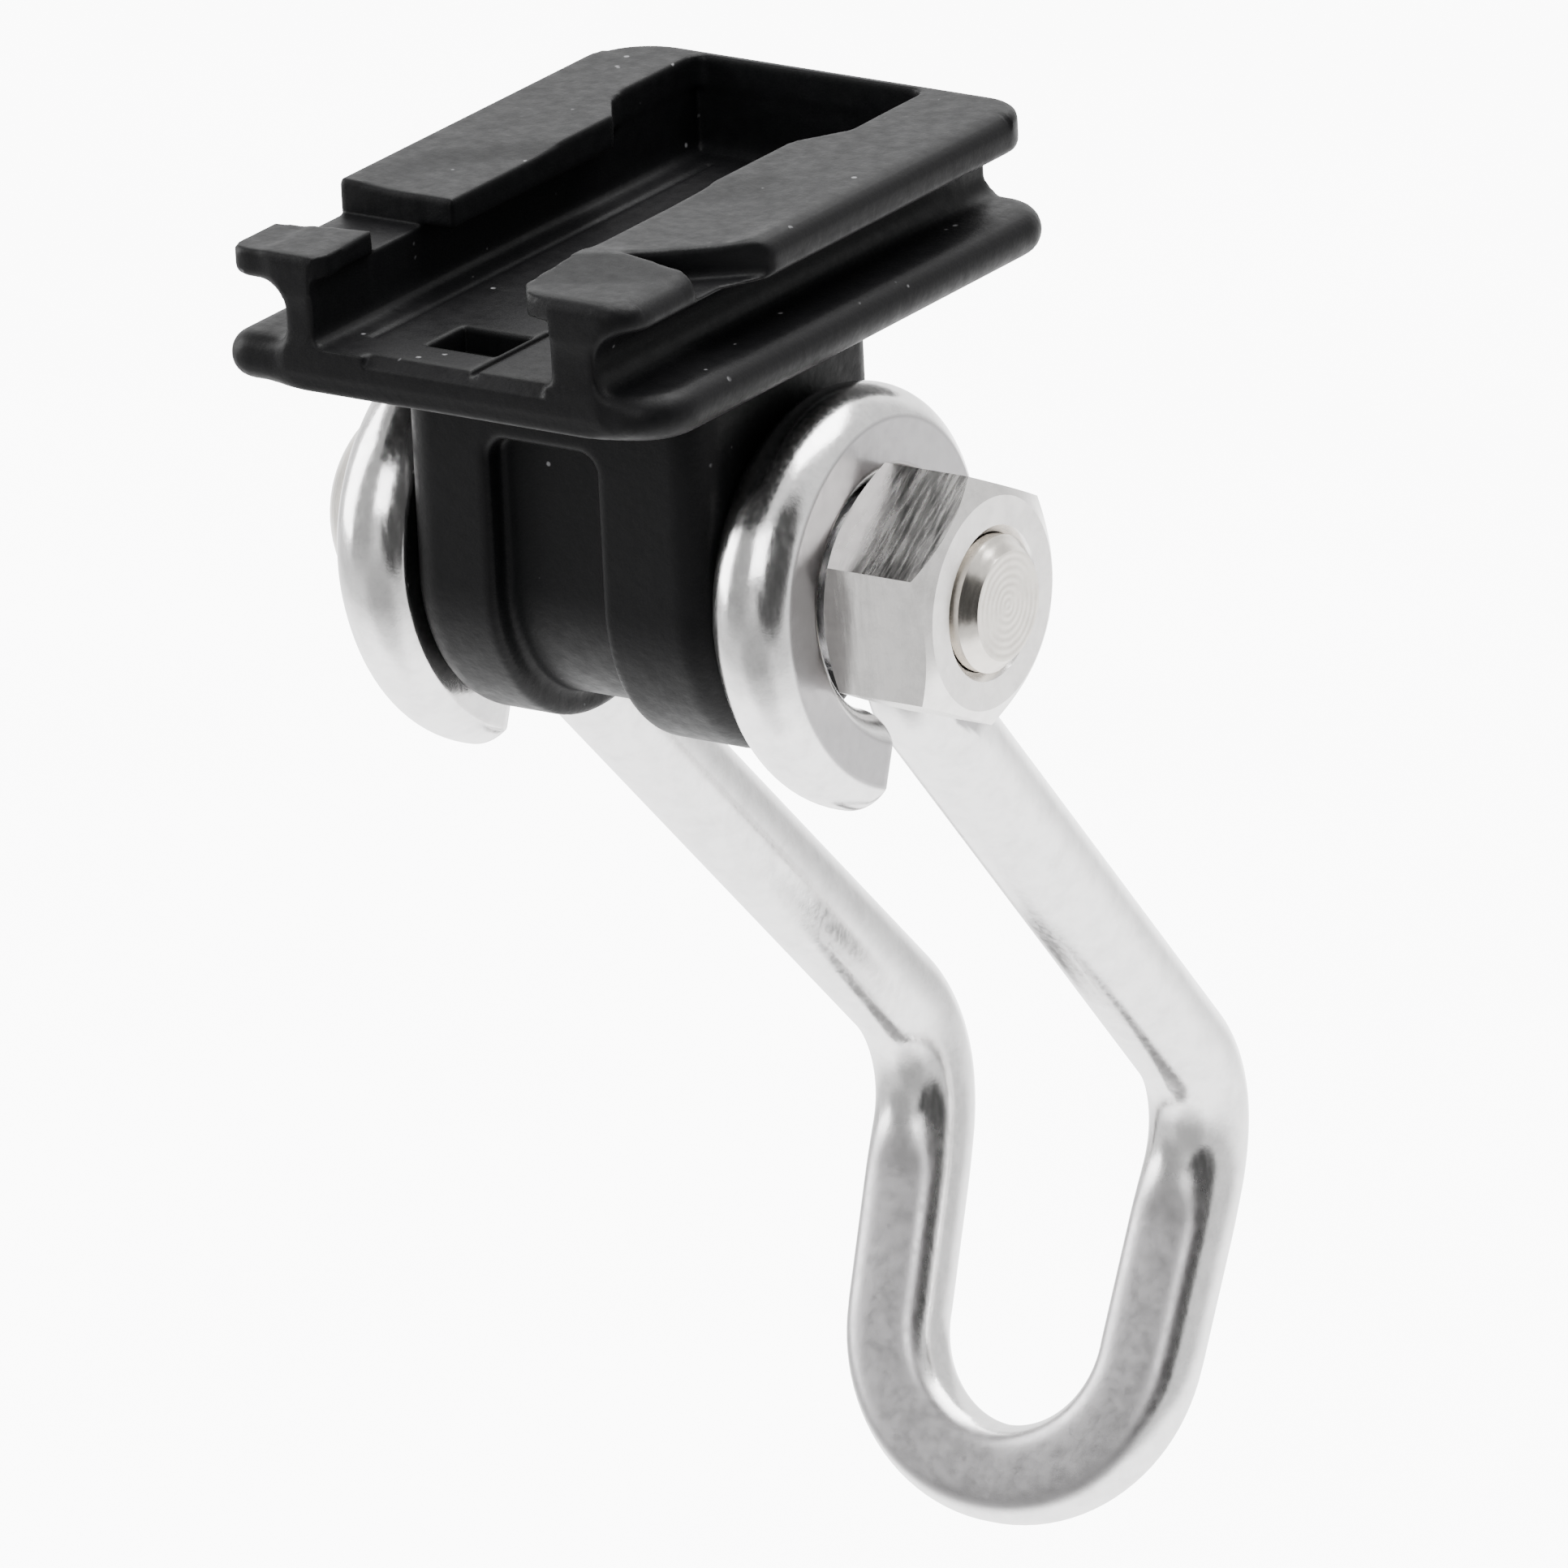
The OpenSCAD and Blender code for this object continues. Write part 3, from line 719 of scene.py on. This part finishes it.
# darker and brighter parts of the room: direction, reach and fade in degrees, brightness there
ROOM_ZONES = (
    ((-0.53, -0.04, 0.85), 12, 14, 0.40),
    ((-0.53, -0.78, 0.34), 28, 20, 0.45),
    ((0.72, -0.64, 0.25), 31, 10, 0.07),
    ((0.10, -0.80, -0.60), 16, 22, 0.5),
    ((-0.05, 0.30, -0.95), 46, 24, 3.0),
    ((-0.45, 0.85, 0.25), 24, 20, 2.1),
)
# soft lamps: name, place, the point it faces, width and height, watts
LAMPS = (
    ("overhead", (0.05, 0.15, 0.45), (0, 0, -0.02), (0.5, 0.4), 6.0),
    ("left_window", (-0.42, -0.12, 0.12), (0, 0, -0.03), (0.3, 0.4), 3.0),
    ("front_fill", (0.1, -0.5, 0.25), (0, 0, -0.03), (0.3, 0.25), 1.6),
)


def floor():
    """A pale floor that only the camera sees, so that it doesn't light the object."""
    h, z = FLOOR_HALF, cad_box[0][2] - FLOOR_DROP
    data = bpy.data.meshes.new("floor")
    data.from_pydata([(-h, -h, z), (h, -h, z), (h, h, z), (-h, h, z)], [], [(0, 1, 2, 3)])
    plane = bpy.data.objects.new("floor", data)
    bpy.context.scene.collection.objects.link(plane)
    plane.visible_diffuse = plane.visible_glossy = plane.visible_shadow = False
    n = Looks("floor_looks", Roughness=0.9, Specular_IOR_Level=0.0, Emission_Strength=FLOOR_GLOW)
    n.link(n.ramp(n.noise(3, 2, 0.5), [(0.3, 0.90), (0.7, 0.93)]), "Base Color")
    n.link(n.ramp(n.noise(40, 3, 0.5), [(0.3, 0.96), (0.7, 1.0)]), "Emission Color")
    data.materials.append(n.material)


def room():
    """Light from all round, with darker and brighter zones. The camera itself sees plain white."""
    world = bpy.data.worlds.new("world")
    bpy.context.scene.world = world
    world.use_nodes = True
    n = Nodes(world.node_tree)
    way = n.add("ShaderNodeTexCoord").outputs["Generated"]
    shade = None
    for toward, reach, soft, level in ROOM_ZONES:
        centre = Vector(toward).normalized()
        near = n.add("ShaderNodeVectorMath", {1: centre}, {0: way}, operation="DOT_PRODUCT")
        limits = {"From Min": math.cos(math.radians(reach + soft)), "From Max": math.cos(math.radians(reach)),
                  "To Min": 1.0, "To Max": level}
        zone = n.add("ShaderNodeMapRange", limits, {"Value": near.outputs["Value"]},
                     interpolation_type="SMOOTHSTEP").outputs["Result"]
        shade = n.product(shade, zone) if shade else zone
    light = n.tree.nodes["Background"]
    light.inputs["Strength"].default_value = ROOM_GLOW
    n.tree.links.new(shade, light.inputs["Color"])
    seen = n.add("ShaderNodeBackground", {"Color": (1, 1, 1, 1), "Strength": SEEN_GLOW})
    from_camera = n.add("ShaderNodeLightPath").outputs["Is Camera Ray"]
    both = n.add("ShaderNodeMixShader", links={0: from_camera, 1: light.outputs[0], 2: seen.outputs[0]})
    n.tree.links.new(both.outputs[0], n.tree.nodes["World Output"].inputs[0])


def lamp(name, place, aim, size, watts):
    data = bpy.data.lights.new(name, "AREA")
    data.shape, data.energy = "RECTANGLE", watts
    data.size, data.size_y = size
    obj = bpy.data.objects.new(name, data)
    obj.location = place
    obj.rotation_euler = (Vector(aim) - Vector(place)).to_track_quat("-Z", "Y").to_euler()
    bpy.context.scene.collection.objects.link(obj)


# ---------------------------------------------------------------- the scene
TURNED = (9, 1, 1)          # stretch that draws the steel's lines round the bolt's axis
DRAWN = (6, 6, 1)           # and along the wire

camera()
build_head(nylon())
build_wire(steel("wire_steel_looks", (0.82, 0.81, 0.805), 0.14, 0.25, 700, DRAWN, pressed=True))
dress("pivot_bolt", steel("bolt_steel_looks", (0.74, 0.70, 0.64), 0.14, 0.26, 500, TURNED, rings=True), 0.08)
dress("hex_nut", steel("nut_steel_looks", (0.82, 0.80, 0.78), 0.15, 0.32, 500, TURNED), 0.16)
dress("pivot_sleeve", steel("sleeve_steel_looks", (0.72, 0.72, 0.73), 0.2, 0.32, 500, TURNED), 0.1)
floor()
room()
for row in LAMPS:
    lamp(*row)
